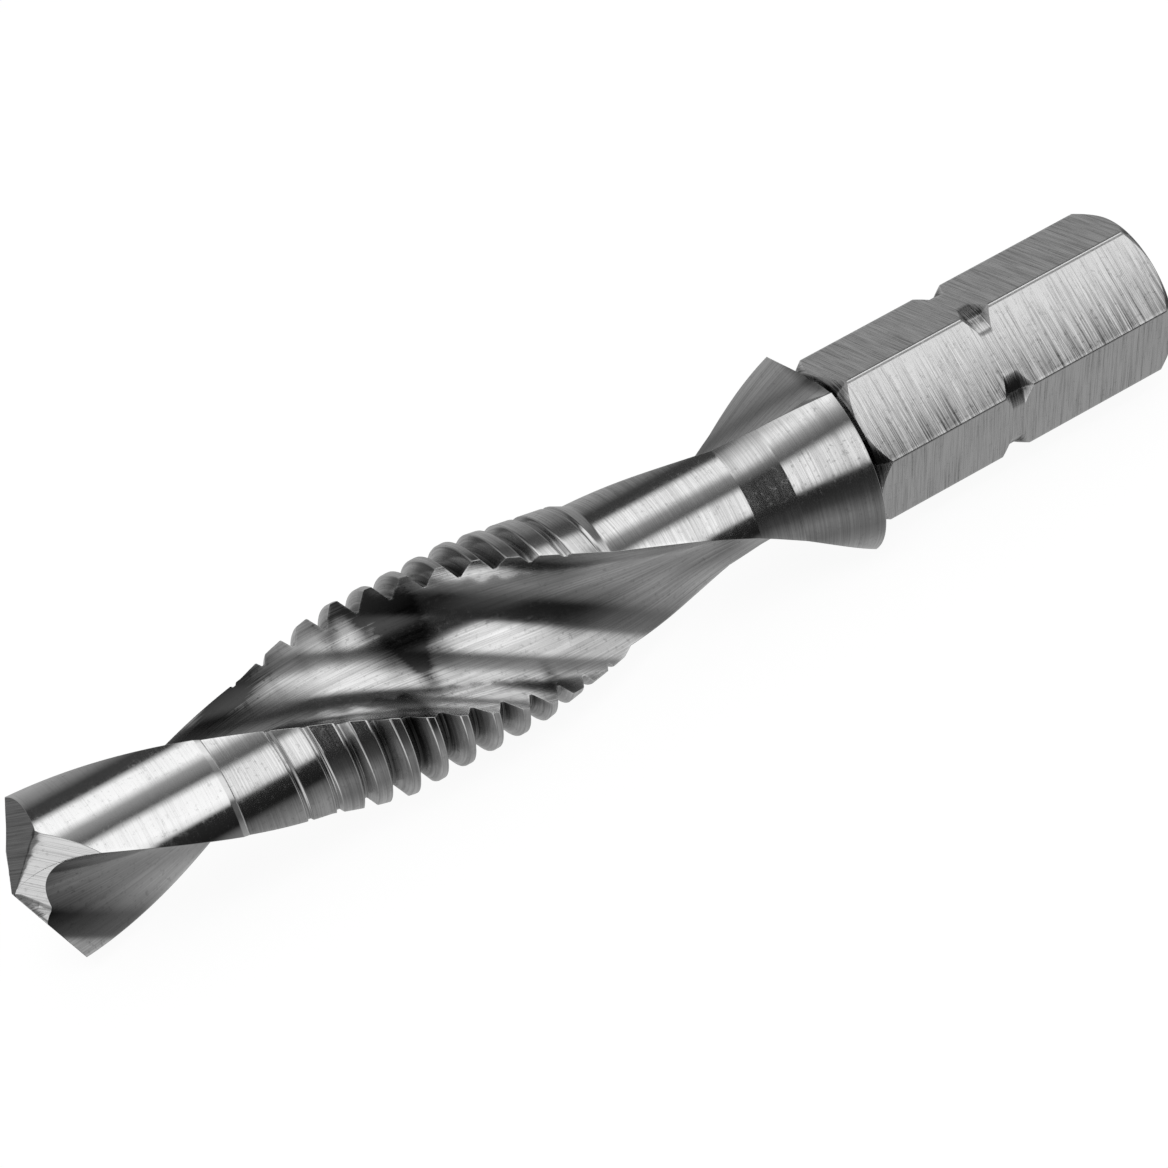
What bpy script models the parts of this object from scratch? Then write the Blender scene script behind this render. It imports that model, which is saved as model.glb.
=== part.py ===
"""Combination drill and tap bit with a quarter inch hexagon shank, for M8 x 1.25 holes.

One piece of ground high speed steel. It is worked in a tool frame, with the point at zero and the axis
along +Z towards the shank, and then laid on its side along +X, as it lies on a bench.
"""

import bmesh
import bpy
import numpy as np
from mathutils import Matrix, Vector

NAME = "drill_tap_bit"

# Whole bit
OVERALL_LENGTH = 0.0521
LYING_ROLL = np.radians(238)

# Drill section
DRILL_DIAMETER = 0.0068
DRILL_LENGTH = 0.0082
DRILL_STEP_LENGTH = 0.00025
POINT_ANGLE = np.radians(135)
LIP_CLEARANCE = np.radians(9)
CHISEL_HALF_WIDTH = 0.00012
GASH_SLOPE = np.radians(48.8)
GASH_SWING = np.radians(-57.5)

# Tap section
THREAD_DIAMETER = 0.008
THREAD_PITCH = 0.00125
THREAD_DEPTH = 0.00075
THREAD_HALF_ANGLE = np.radians(30)
THREAD_ROOT_FLAT = 0.00012
ENTRY_STEP = 0.00006
ENTRY_LENGTH = 0.0038
LEAD_TAPER_LENGTH = 0.0036
FULL_THREAD_LENGTH = 0.0058
RUNOUT_TAPER_LENGTH = 0.0043
RUNOUT_RISE = 0.00005
GROOVE_LEAD_IN = 0.001195
GROOVE_START_TURN = np.radians(-60)

# Neck and collar
NECK_DIAMETER = 0.0061
NECK_END = 0.03206
SHOULDER_LENGTH = 0.00181
SHOULDER_DIAMETER = 0.0068
COLLAR_LENGTH = 0.00308
COLLAR_DIAMETER = 0.0088
COLLAR_BACK_LENGTH = 0.00055

# Flutes
FLUTE_COUNT = 2
FLUTE_LEAD = 0.050
FLUTE_START_TURN = np.radians(-145.2)
FLUTE_RADIUS = 0.00387
WEB_THICKNESS = 0.0019
FLUTE_FULL_DEPTH_END = 0.029
FLUTE_WHEEL_RADIUS = 0.018
FLUTE_EXIT_SHARE = 0.6

# Hexagon shank
HEX_ACROSS_FLATS = 0.00635
HEX_TURN = np.radians(27)
HEX_CHAMFER = 0.0002
HEX_NECK_DIAMETER = 0.0061
HEX_NECK_LENGTH = 0.00015
NOTCH_FROM_END = 0.0078
NOTCH_DIAMETER = 0.00662
NOTCH_FLOOR = 0.0006
NOTCH_WIDTH = 0.0014

# Working allowances and facets
OVERRUN = 0.001
BLOCK_SIZE = 0.032
GROOVE_OVERCUT = 0.0001
WELD_DISTANCE = 0.000002
TURNED_STEPS = 48
THREAD_STEPS = 46
FLUTE_ARC_POINTS = 32
FLUTE_STATION_SPACING = 0.00095

DRILL_RADIUS = DRILL_DIAMETER / 2
THREAD_RADIUS = THREAD_DIAMETER / 2
ROOT_RADIUS = THREAD_RADIUS - THREAD_DEPTH
ENTRY_RADIUS = DRILL_RADIUS - ENTRY_STEP
COLLAR_RADIUS = COLLAR_DIAMETER / 2
HEX_CORNER_RADIUS = HEX_ACROSS_FLATS / np.sqrt(3)
POINT_SLOPE = np.tan(np.pi / 2 - POINT_ANGLE / 2)
ENTRY_START = DRILL_LENGTH + DRILL_STEP_LENGTH
TAPER_START = DRILL_LENGTH + ENTRY_LENGTH
FULL_START = TAPER_START + LEAD_TAPER_LENGTH
FULL_END = FULL_START + FULL_THREAD_LENGTH
THREAD_END = FULL_END + RUNOUT_TAPER_LENGTH
SHOULDER_END = NECK_END + SHOULDER_LENGTH
COLLAR_END = SHOULDER_END + COLLAR_LENGTH
HEX_START = COLLAR_END + COLLAR_BACK_LENGTH + HEX_NECK_LENGTH


def clear_scene():
    for obj in list(bpy.data.objects):
        bpy.data.objects.remove(obj, do_unlink=True)


def new_collection(name):
    collection = bpy.data.collections.new(name)
    bpy.context.scene.collection.children.link(collection)
    return collection


def new_object(name, mesh, collection):
    obj = bpy.data.objects.new(name, mesh)
    collection.objects.link(obj)
    return obj


def make_cutter(obj):
    obj.hide_render = True
    obj.display_type = "WIRE"
    return obj


def profile_mesh(name, points, closed=False):
    """Edges through (radius, height) points in the XZ plane."""
    mesh = bpy.data.meshes.new(name)
    edges = [(i, i + 1) for i in range(len(points) - 1)]
    if closed:
        edges.append((len(points) - 1, 0))
    mesh.from_pydata([(radius, 0, height) for radius, height in points], edges, [])
    return mesh


def add_screw(obj, steps, rise=0.0, turns=1):
    screw = obj.modifiers.new("Turn", "SCREW")
    screw.axis = "Z"
    screw.angle = 2 * np.pi
    screw.steps = screw.render_steps = steps
    screw.screw_offset = rise
    screw.iterations = turns
    screw.use_merge_vertices = rise == 0
    screw.merge_threshold = 0.000001
    return screw


def turned(name, points, collection):
    """A solid of revolution. The profile starts on the axis at the shank end and ends on it at the point."""
    obj = new_object(name, profile_mesh(name, points), collection)
    add_screw(obj, TURNED_STEPS)
    return obj


def closed_mesh_of(obj, name, collection):
    """The evaluated object as a closed mesh object, with its open ends capped."""
    graph = bpy.context.evaluated_depsgraph_get()
    mesh = bpy.data.meshes.new_from_object(obj.evaluated_get(graph))
    bm = bmesh.new()
    bm.from_mesh(mesh)
    bmesh.ops.holes_fill(bm, edges=bm.edges, sides=0)
    bmesh.ops.recalc_face_normals(bm, faces=bm.faces)
    bm.to_mesh(mesh)
    bm.free()
    bpy.data.objects.remove(obj, do_unlink=True)
    return new_object(name, mesh, collection)


def boolean(target, other, operation="DIFFERENCE"):
    """Cuts or joins, and applies it, so that points closer than the weld distance are made one each time."""
    modifier = target.modifiers.new(operation.title(), "BOOLEAN")
    modifier.operation = operation
    modifier.solver = "EXACT"
    modifier.object = other
    bpy.context.view_layer.update()
    graph = bpy.context.evaluated_depsgraph_get()
    mesh = bpy.data.meshes.new_from_object(target.evaluated_get(graph))
    bm = bmesh.new()
    bm.from_mesh(mesh)
    bmesh.ops.remove_doubles(bm, verts=bm.verts, dist=WELD_DISTANCE)
    bmesh.ops.dissolve_degenerate(bm, edges=bm.edges, dist=WELD_DISTANCE)
    bm.to_mesh(mesh)
    bm.free()
    target.modifiers.clear()
    target.data = mesh


def blank_profile():
    """Half outline of the turned blank, from the shank end to the point."""
    core = HEX_NECK_DIAMETER / 2
    stub = HEX_START + OVERRUN
    return [
        (0, stub),
        (core, stub),
        (core, HEX_START - HEX_NECK_LENGTH),
        (COLLAR_RADIUS, COLLAR_END),
        (SHOULDER_DIAMETER / 2, SHOULDER_END),
        (NECK_DIAMETER / 2, NECK_END),
        (NECK_DIAMETER / 2, THREAD_END + OVERRUN / 2),
        (ROOT_RADIUS + RUNOUT_RISE, THREAD_END),
        (THREAD_RADIUS, FULL_END),
        (THREAD_RADIUS, FULL_START),
        (ENTRY_RADIUS, TAPER_START),
        (ENTRY_RADIUS, ENTRY_START),
        (DRILL_RADIUS, DRILL_LENGTH),
        (DRILL_RADIUS, -OVERRUN),
        (0, -OVERRUN),
    ]


def thread_groove(collection):
    """The V groove of the thread: a triangle with a flat tip, carried along the helix."""
    outer = THREAD_RADIUS + GROOVE_OVERCUT
    half_root = THREAD_ROOT_FLAT / 2
    half_outer = half_root + (outer - ROOT_RADIUS) * np.tan(THREAD_HALF_ANGLE)
    start = TAPER_START - GROOVE_LEAD_IN + THREAD_PITCH * GROOVE_START_TURN / (2 * np.pi)
    turns = int(np.ceil((THREAD_END - start) / THREAD_PITCH))
    points = [
        (outer, start + half_outer),
        (ROOT_RADIUS, start + half_root),
        (ROOT_RADIUS, start - half_root),
        (outer, start - half_outer),
    ]
    obj = new_object("thread_path", profile_mesh("thread_groove", points, True), collection)
    add_screw(obj, THREAD_STEPS, THREAD_PITCH, turns)
    groove = make_cutter(closed_mesh_of(obj, "thread_groove", collection))
    groove.rotation_euler.z = GROOVE_START_TURN
    return groove


def flute_ring(height, turn):
    """One section of a flute cutter: a circle that keeps the web, lifted where the wheel leaves the work."""
    past = max(0.0, height - FLUTE_FULL_DEPTH_END)
    lift = FLUTE_WHEEL_RADIUS - np.sqrt(FLUTE_WHEEL_RADIUS**2 - past**2)
    centre = WEB_THICKNESS / 2 + FLUTE_RADIUS + lift
    around = np.linspace(0, 2 * np.pi, FLUTE_ARC_POINTS, endpoint=False)
    x = centre + FLUTE_RADIUS * np.cos(around)
    y = FLUTE_RADIUS * np.sin(around)
    angle = turn + 2 * np.pi * height / FLUTE_LEAD
    return [
        (a * np.cos(angle) - b * np.sin(angle), a * np.sin(angle) + b * np.cos(angle), height)
        for a, b in zip(x, y)
    ]


def flute(number, collection):
    """A helical flute, lofted through its sections from before the point to where it runs out."""
    end = FLUTE_FULL_DEPTH_END + FLUTE_WHEEL_RADIUS * FLUTE_EXIT_SHARE
    count = int(np.ceil((end + 2 * OVERRUN) / FLUTE_STATION_SPACING))
    turn = FLUTE_START_TURN + number * 2 * np.pi / FLUTE_COUNT
    bm = bmesh.new()
    rings = [
        [bm.verts.new(point) for point in flute_ring(height, turn)]
        for height in np.linspace(-2 * OVERRUN, end, count)
    ]
    for low, high in zip(rings, rings[1:]):
        for i in range(FLUTE_ARC_POINTS):
            j = (i + 1) % FLUTE_ARC_POINTS
            bm.faces.new((low[i], low[j], high[j], high[i]))
    bm.faces.new(list(reversed(rings[0])))
    bm.faces.new(rings[-1])
    bmesh.ops.recalc_face_normals(bm, faces=bm.faces)
    mesh = bpy.data.meshes.new("flute")
    bm.to_mesh(mesh)
    bm.free()
    return make_cutter(new_object(f"flute_{number + 1}", mesh, collection))


def lip_turn(number):
    """Angle of a cutting corner: where the flute's trailing edge meets the drill diameter."""
    centre = WEB_THICKNESS / 2 + FLUTE_RADIUS
    reach = (DRILL_RADIUS**2 + centre**2 - FLUTE_RADIUS**2) / (2 * DRILL_RADIUS * centre)
    corner_height = DRILL_RADIUS * POINT_SLOPE
    turn = FLUTE_START_TURN + number * 2 * np.pi / FLUTE_COUNT
    return turn + 2 * np.pi * corner_height / FLUTE_LEAD + np.arccos(reach)


def block(name, along, up, corner, side_shift, collection):
    """A box whose lower face passes through corner, square to up, with one edge direction along.

    side_shift moves it along its third direction: zero puts that direction's near face on the corner."""
    along = Vector(along).normalized()
    up = Vector(up).normalized()
    across = up.cross(along).normalized()
    bm = bmesh.new()
    bmesh.ops.create_cube(bm, size=BLOCK_SIZE)
    mesh = bpy.data.meshes.new(name)
    bm.to_mesh(mesh)
    bm.free()
    obj = new_object(name, mesh, collection)
    centre = Vector(corner) + up * (BLOCK_SIZE / 2) + across * side_shift
    turn = Matrix((along, across, up)).transposed()
    obj.matrix_world = Matrix.Translation(centre) @ turn.to_4x4()
    return make_cutter(obj)


def flank_block(number, collection):
    """Grinds one flank of the point: a plane through the lip that falls away behind it."""
    turn = lip_turn(number)
    lip = Vector((np.cos(turn), np.sin(turn), POINT_SLOPE))
    behind = Vector((-np.sin(turn), np.cos(turn), np.tan(LIP_CLEARANCE)))
    up = behind.cross(lip)
    return block(f"flank_{number + 1}", lip, up, (0, 0, 0), 0, collection)


def gash_block(number, collection):
    """Grinds the split of the point: a steep facet in the flute, from the chisel edge to the heel."""
    turn = lip_turn(number)
    fall = turn + GASH_SWING
    slope = np.tan(GASH_SLOPE)
    up = Vector((slope * np.cos(fall), slope * np.sin(fall), -1))
    rise = slope * np.cos(GASH_SWING)
    edge = Vector((np.cos(turn), np.sin(turn), rise))
    ahead = Vector((np.sin(turn), -np.cos(turn), 0))
    across = up.normalized().cross(edge.normalized())
    side = BLOCK_SIZE / 2 if across.dot(ahead) > 0 else -BLOCK_SIZE / 2
    corner = ahead * CHISEL_HALF_WIDTH
    return block(f"gash_{number + 1}", edge, up, corner, side, collection)


def hex_envelope(collection):
    """Turned limits of the shank: the chamfers at both ends and the detent notch in the corners."""
    wide = HEX_CORNER_RADIUS + OVERRUN
    notch = OVERALL_LENGTH - NOTCH_FROM_END
    notch_slope = (HEX_CORNER_RADIUS - NOTCH_DIAMETER / 2) / ((NOTCH_WIDTH - NOTCH_FLOOR) / 2)
    notch_reach = NOTCH_FLOOR / 2 + (wide - NOTCH_DIAMETER / 2) / notch_slope
    face = HEX_ACROSS_FLATS / 2 - HEX_CHAMFER / 4
    front = HEX_ACROSS_FLATS / 2
    points = [
        (0, OVERALL_LENGTH),
        (face, OVERALL_LENGTH),
        (wide, OVERALL_LENGTH - (wide - face)),
        (wide, notch + notch_reach),
        (NOTCH_DIAMETER / 2, notch + NOTCH_FLOOR / 2),
        (NOTCH_DIAMETER / 2, notch - NOTCH_FLOOR / 2),
        (wide, notch - notch_reach),
        (wide, HEX_START + wide - front),
        (front, HEX_START),
        (0, HEX_START),
    ]
    obj = turned("hex_envelope", points, collection)
    return make_cutter(obj)


def hex_shank(cutters):
    """The hexagon, longer than the shank at both ends, cut to its turned limits."""
    length = OVERALL_LENGTH - HEX_START + 2 * OVERRUN
    bm = bmesh.new()
    bmesh.ops.create_cone(
        bm,
        cap_ends=True,
        segments=6,
        radius1=HEX_CORNER_RADIUS,
        radius2=HEX_CORNER_RADIUS,
        depth=length,
        matrix=Matrix.Rotation(HEX_TURN, 4, "Z"),
    )
    mesh = bpy.data.meshes.new("hex_shank")
    bm.to_mesh(mesh)
    bm.free()
    obj = make_cutter(new_object("hex_shank", mesh, cutters))
    obj.location.z = (HEX_START + OVERALL_LENGTH) / 2
    boolean(obj, hex_envelope(cutters), "INTERSECT")
    return obj


def steel():
    material = bpy.data.materials.new("ground_steel")
    material.use_nodes = True
    shader = material.node_tree.nodes["Principled BSDF"]
    shader.inputs["Base Color"].default_value = (0.55, 0.55, 0.55, 1)
    shader.inputs["Metallic"].default_value = 1.0
    shader.inputs["Roughness"].default_value = 0.28
    return material


def lay_down(obj, parts):
    """Applies the modifiers, then lays the bit along +X on the plane z = 0, centred over the origin."""
    graph = bpy.context.evaluated_depsgraph_get()
    mesh = bpy.data.meshes.new_from_object(obj.evaluated_get(graph))
    bpy.data.objects.remove(obj, do_unlink=True)
    bit = new_object(NAME, mesh, parts)
    bit.rotation_mode = "ZYX"
    bit.rotation_euler = (LYING_ROLL, np.pi / 2, 0)
    bpy.context.view_layer.update()
    corners = np.array([bit.matrix_world @ vertex.co for vertex in mesh.vertices])
    middle = (corners.max(axis=0) + corners.min(axis=0)) / 2
    bit.location = (-middle[0], -middle[1], -corners[:, 2].min())
    return bit


def build():
    clear_scene()
    parts = new_collection(NAME)
    cutters = new_collection("cutters")
    blank = turned("turned_blank", blank_profile(), cutters)
    boolean(blank, thread_groove(cutters))
    boolean(blank, hex_shank(cutters), "UNION")
    for number in range(FLUTE_COUNT):
        boolean(blank, flute(number, cutters))
    for number in range(FLUTE_COUNT):
        boolean(blank, flank_block(number, cutters))
    for number in range(FLUTE_COUNT):
        boolean(blank, gash_block(number, cutters))
    bpy.context.view_layer.update()
    bit = lay_down(blank, parts)
    bit.data.materials.clear()
    bit.data.materials.append(steel())
    bit.data.shade_smooth()
    bit.data.set_sharp_from_angle(angle=np.radians(30))


build()
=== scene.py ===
"""The looks of a combination drill and tap bit: one piece of ground steel, as fine surfaces worked out with numpy.

Everything is worked out in the tool frame first: station x in metres from the point towards the shank, radius
from the axis, and turn about the axis from the camera's side. place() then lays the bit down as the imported
model lies.
"""

import bmesh
import bpy
import numpy as np
from bpy.props import FloatProperty, FloatVectorProperty, IntProperty, PointerProperty
from mathutils import Matrix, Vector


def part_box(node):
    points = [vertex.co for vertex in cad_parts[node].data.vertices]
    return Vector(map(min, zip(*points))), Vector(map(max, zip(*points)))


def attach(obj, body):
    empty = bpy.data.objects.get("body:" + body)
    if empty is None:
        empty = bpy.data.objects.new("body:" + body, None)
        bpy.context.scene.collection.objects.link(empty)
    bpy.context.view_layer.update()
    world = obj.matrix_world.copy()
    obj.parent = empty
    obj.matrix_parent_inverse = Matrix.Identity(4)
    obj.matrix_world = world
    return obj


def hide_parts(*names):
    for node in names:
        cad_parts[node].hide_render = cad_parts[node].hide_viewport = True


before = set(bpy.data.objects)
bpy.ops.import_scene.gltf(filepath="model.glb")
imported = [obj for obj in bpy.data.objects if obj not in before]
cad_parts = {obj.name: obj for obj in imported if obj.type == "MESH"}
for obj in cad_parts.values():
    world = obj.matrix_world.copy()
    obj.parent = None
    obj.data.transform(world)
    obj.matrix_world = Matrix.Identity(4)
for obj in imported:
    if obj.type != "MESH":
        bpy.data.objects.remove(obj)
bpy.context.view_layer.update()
NODE = "drill_tap_bit"
LOW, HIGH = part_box(NODE)

bl_info = {
    "name": "Drill and tap bit",
    "version": (1, 0, 0),
    "blender": (4, 5, 0),
    "location": "View3D > Sidebar > Tap Bit",
    "description": "Ground steel surfaces of a combination drill and tap bit",
    "category": "Add Mesh",
}


def length_of(name, description, default):
    return FloatProperty(
        name=name, description=description, default=default, min=0.0, subtype="DISTANCE", unit="LENGTH"
    )


def turn_of(name, description, degrees):
    return FloatProperty(
        name=name, description=description, default=np.radians(degrees), subtype="ANGLE", unit="ROTATION"
    )


def colour_of(name, description, grey):
    return FloatVectorProperty(
        name=name, description=description, default=(grey,) * 3, size=3, min=0, max=1, subtype="COLOR"
    )


class BitSizes(bpy.types.PropertyGroup):
    """The sizes of the bit, as its solid has them."""

    overall: length_of("Overall length", "From the chisel edge to the end of the shank", HIGH[0] - LOW[0])
    lying_turn: turn_of("Lying turn", "How far the bit is rolled about its axis where it lies", 148)
    drill_diameter: length_of("Drill diameter", "Across the drill", 0.0068)
    drill_length: length_of("Drill length", "From the point to the end of the drill", 0.0082)
    step_length: length_of("Step length", "Length of the small step behind the drill", 0.00025)
    entry_drop: length_of("Entry drop", "How far the plain part behind the drill lies under it", 0.00006)
    entry_length: length_of("Entry length", "From the end of the drill to the start of the taper", 0.0038)
    thread_diameter: length_of("Thread diameter", "Across the crests of the full thread", 0.008)
    pitch: length_of("Pitch", "Distance from one crest to the next", 0.00125)
    thread_depth: length_of("Thread depth", "From crest to root", 0.00075)
    root_flat: length_of("Root flat", "Width of the flat in the root", 0.00012)
    lead_taper: length_of("Lead taper", "Length over which the crests rise", 0.0036)
    full_thread: length_of("Full thread", "Length with full crests", 0.0058)
    runout_taper: length_of("Run-out taper", "Length over which the crests fall", 0.0043)
    runout_rise: length_of("Run-out rise", "How far the end of the run-out stands over the root", 0.00005)
    groove_lead_in: length_of("Groove lead-in", "How far the groove starts before the taper", 0.001195)
    groove_turn: turn_of("Groove turn", "Turn at which the groove starts", -60)
    neck_diameter: length_of("Neck diameter", "Across the plain neck", 0.0061)
    neck_end: length_of("Neck end", "Station where the neck meets the shoulder", 0.03206)
    shoulder_length: length_of("Shoulder length", "Length of the first cone", 0.00181)
    shoulder_diameter: length_of("Shoulder diameter", "Across the end of the first cone", 0.0068)
    collar_length: length_of("Collar length", "Length of the second cone", 0.00308)
    collar_diameter: length_of("Collar diameter", "Across the widest place", 0.0088)
    collar_back: length_of("Collar back", "Length of the cone behind the collar", 0.00055)
    hex_neck: length_of("Undercut diameter", "Across the undercut before the hexagon", 0.0061)
    undercut: length_of("Undercut length", "Length of the undercut before the hexagon", 0.00015)
    web: length_of("Web", "Thickness of the core between the flutes", 0.0019)
    flute_radius: length_of("Flute radius", "Radius of the hollow of a flute", 0.00387)
    flute_lead: length_of("Flute lead", "Length in which a flute turns once", 0.050)
    flute_turn: turn_of("Flute turn", "Turn of the first flute at the point", -145.2)
    flute_depth_end: length_of("Full flute end", "Station where the flutes start to run out", 0.029)
    flute_wheel: length_of("Flute wheel", "Radius of the wheel that leaves the run-out", 0.018)
    point_angle: turn_of("Point angle", "Angle between the two lips", 135)
    lip_clearance: turn_of("Lip clearance", "Fall of the flank behind its lip", 9)
    gash_slope: turn_of("Gash slope", "Steepness of the split of the point", 48.8)
    gash_swing: turn_of("Gash swing", "Turn from the lip to the fall of the gash", -57.5)
    chisel_half: length_of("Chisel half width", "From the axis to the gash", 0.00012)
    across_flats: length_of("Across flats", "Width of the hexagon", 0.00635)
    hex_turn: turn_of("Hexagon turn", "Turn of a corner of the hexagon", 27)
    hex_chamfer: length_of("Hexagon chamfer", "Four times how far the end face stays inside the flats", 0.0002)
    notch_from_end: length_of("Notch from end", "From the end to the middle of the notches", 0.0078)
    notch_diameter: length_of("Notch diameter", "Across the floor of the notches", 0.00662)
    notch_floor: length_of("Notch floor", "Length of the floor of the notches", 0.0006)
    notch_width: length_of("Notch width", "Length of a notch at the corner", 0.0014)


class BitGrain(bpy.types.PropertyGroup):
    """How fine the surfaces are."""

    flute_columns: IntProperty(name="Flute columns", description="Strips across one flute", default=44, min=8)
    land_columns: IntProperty(name="Land columns", description="Strips across one land", default=30, min=6)
    pitch_rows: IntProperty(name="Rows per pitch", description="Rows in one pitch", default=32, min=8)
    edge: length_of("Edge", "Half width of the softened edges", 0.000022)


class BitLooks(bpy.types.PropertyGroup):
    """The steel and the studio."""

    steel: colour_of("Steel", "Reflectance of the clean ground steel", 0.95)
    # The dark end of the steel's colour also carries the painted shade in recesses.
    dark_steel: colour_of("Dark steel", "Reflectance of steel in recesses and streaks", 0.07)
    floor: colour_of("Floor", "Colour of the floor", 0.93)
    lamp_power: FloatProperty(
        name="Lamp power", description="Power of the large soft lamp", default=1.1, min=0, unit="POWER"
    )


# Shape of the bit ------------------------------------------------------------------------------------

FULL_TURN = 2 * np.pi
FLANK_ANGLE = np.radians(30)  # of the thread, from square to the axis
FIRST_REACH = np.radians(52)  # a first guess of half the turn that a flute takes
LEAST_REACH_COSINE = 0.9998  # keeps a flute that has almost run out from closing up
ROUNDS = 12  # of repeated substitution for the flutes' edges
POINT_ROUNDS = 60  # and for the point
LAND_WIDTH = 0.0045  # of a land round the bit, about
FLUTE_ARC_SHARE = 1.7  # of the flute's radius: the arc that a flute takes, about
HELIX_STRETCH = 1.08  # length along a flute for one length along the axis
WHEEL_SHARE = 0.99  # of the flute wheel's radius: as far along as its rise is worked out
HAIR = 1e-7  # how far a flute's edge may stand over the land, against rounding
NECK_FALL = 0.0005  # from the end of the thread's blank to the neck's diameter
JOIN_WITHIN = 1e-7  # distance at which two points of a surface are one
EDGE_REACH = 6  # widths of a softened edge over which the painted highlight along the edge fades


def stations(s):
    """The stations along the axis, each the one before plus its own length."""
    found = {"drill_end": s.drill_length}
    found["entry"] = s.drill_length + s.step_length
    found["taper"] = s.drill_length + s.entry_length
    found["full"] = found["taper"] + s.lead_taper
    found["full_end"] = found["full"] + s.full_thread
    found["thread_end"] = found["full_end"] + s.runout_taper
    found["neck"] = found["thread_end"] + NECK_FALL
    found["neck_end"] = s.neck_end
    found["shoulder_end"] = s.neck_end + s.shoulder_length
    found["collar_end"] = found["shoulder_end"] + s.collar_length
    found["undercut"] = found["collar_end"] + s.collar_back
    found["hexagon"] = found["undercut"] + s.undercut
    return found


def blank_radius(x, s):
    """Radius of the turned blank: straight lines between its corners."""
    at = stations(s)
    root = s.thread_diameter / 2 - s.thread_depth
    corners = [
        (0.0, s.drill_diameter / 2),
        (at["drill_end"], s.drill_diameter / 2),
        (at["entry"], s.drill_diameter / 2 - s.entry_drop),
        (at["taper"], s.drill_diameter / 2 - s.entry_drop),
        (at["full"], s.thread_diameter / 2),
        (at["full_end"], s.thread_diameter / 2),
        (at["thread_end"], root + s.runout_rise),
        (at["neck"], s.neck_diameter / 2),
        (at["neck_end"], s.neck_diameter / 2),
        (at["shoulder_end"], s.shoulder_diameter / 2),
        (at["collar_end"], s.collar_diameter / 2),
        (at["undercut"], s.hex_neck / 2),
        (at["hexagon"], s.hex_neck / 2),
    ]
    return np.interp(x, *np.array(corners).T)


def groove_radius(x, turn, s):
    """Radius of the thread's V groove: the root, plus the distance from the root's flat over the tangent of the
    flank angle. The groove's middle moves one pitch along for each full turn, from its first turn to its last."""
    root = s.thread_diameter / 2 - s.thread_depth
    start = stations(s)["taper"] - s.groove_lead_in + s.pitch * s.groove_turn / FULL_TURN
    turns = np.ceil((stations(s)["thread_end"] - start) / s.pitch)
    part_turn = np.mod(turn - s.groove_turn, FULL_TURN) / FULL_TURN
    along = (x - start) / s.pitch - part_turn
    off = np.abs(along - np.clip(np.round(along), 0, turns - 1)) * s.pitch
    return root + np.maximum(0, off - s.root_flat / 2) / np.tan(FLANK_ANGLE)


def land_radius(x, turn, s):
    """The smaller of the blank and the thread's groove."""
    return np.minimum(blank_radius(x, s), groove_radius(x, turn, s))


def flute_centre(x, s):
    """Distance of the middle of a flute's circle from the axis: half the web and the circle's radius, and past
    the full depth also the rise of a wheel of the given radius."""
    past = np.clip(x - s.flute_depth_end, 0, WHEEL_SHARE * s.flute_wheel)
    lift = s.flute_wheel - np.sqrt(s.flute_wheel**2 - past**2)
    return s.web / 2 + s.flute_radius + lift


def flute_turn(x, s):
    """Turn of the first flute: it turns once in its lead."""
    return s.flute_turn + FULL_TURN * x / s.flute_lead


def flute_reach(radius, centre, s):
    """Angle on the flute's circle at which it leaves a given radius, by the rule of cosines."""
    cosine = (centre**2 + s.flute_radius**2 - radius**2) / (2 * centre * s.flute_radius)
    return np.arccos(np.clip(cosine, -1, LEAST_REACH_COSINE))


def polar_of_circle(angle, centre, s):
    """Radius and turn, from the flute's middle, of a point on its circle."""
    along = centre - s.flute_radius * np.cos(angle)
    aside = s.flute_radius * np.sin(angle)
    return np.hypot(along, aside), np.arctan2(aside, along)


def crowded(count, edge_share):
    """Shares from 0 up to 1 less the edge's, evenly spaced, with 0 itself put before them for a softened edge."""
    inner = np.linspace(edge_share, 1 - edge_share, count - 1)
    return np.concatenate([[0], inner])


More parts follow.
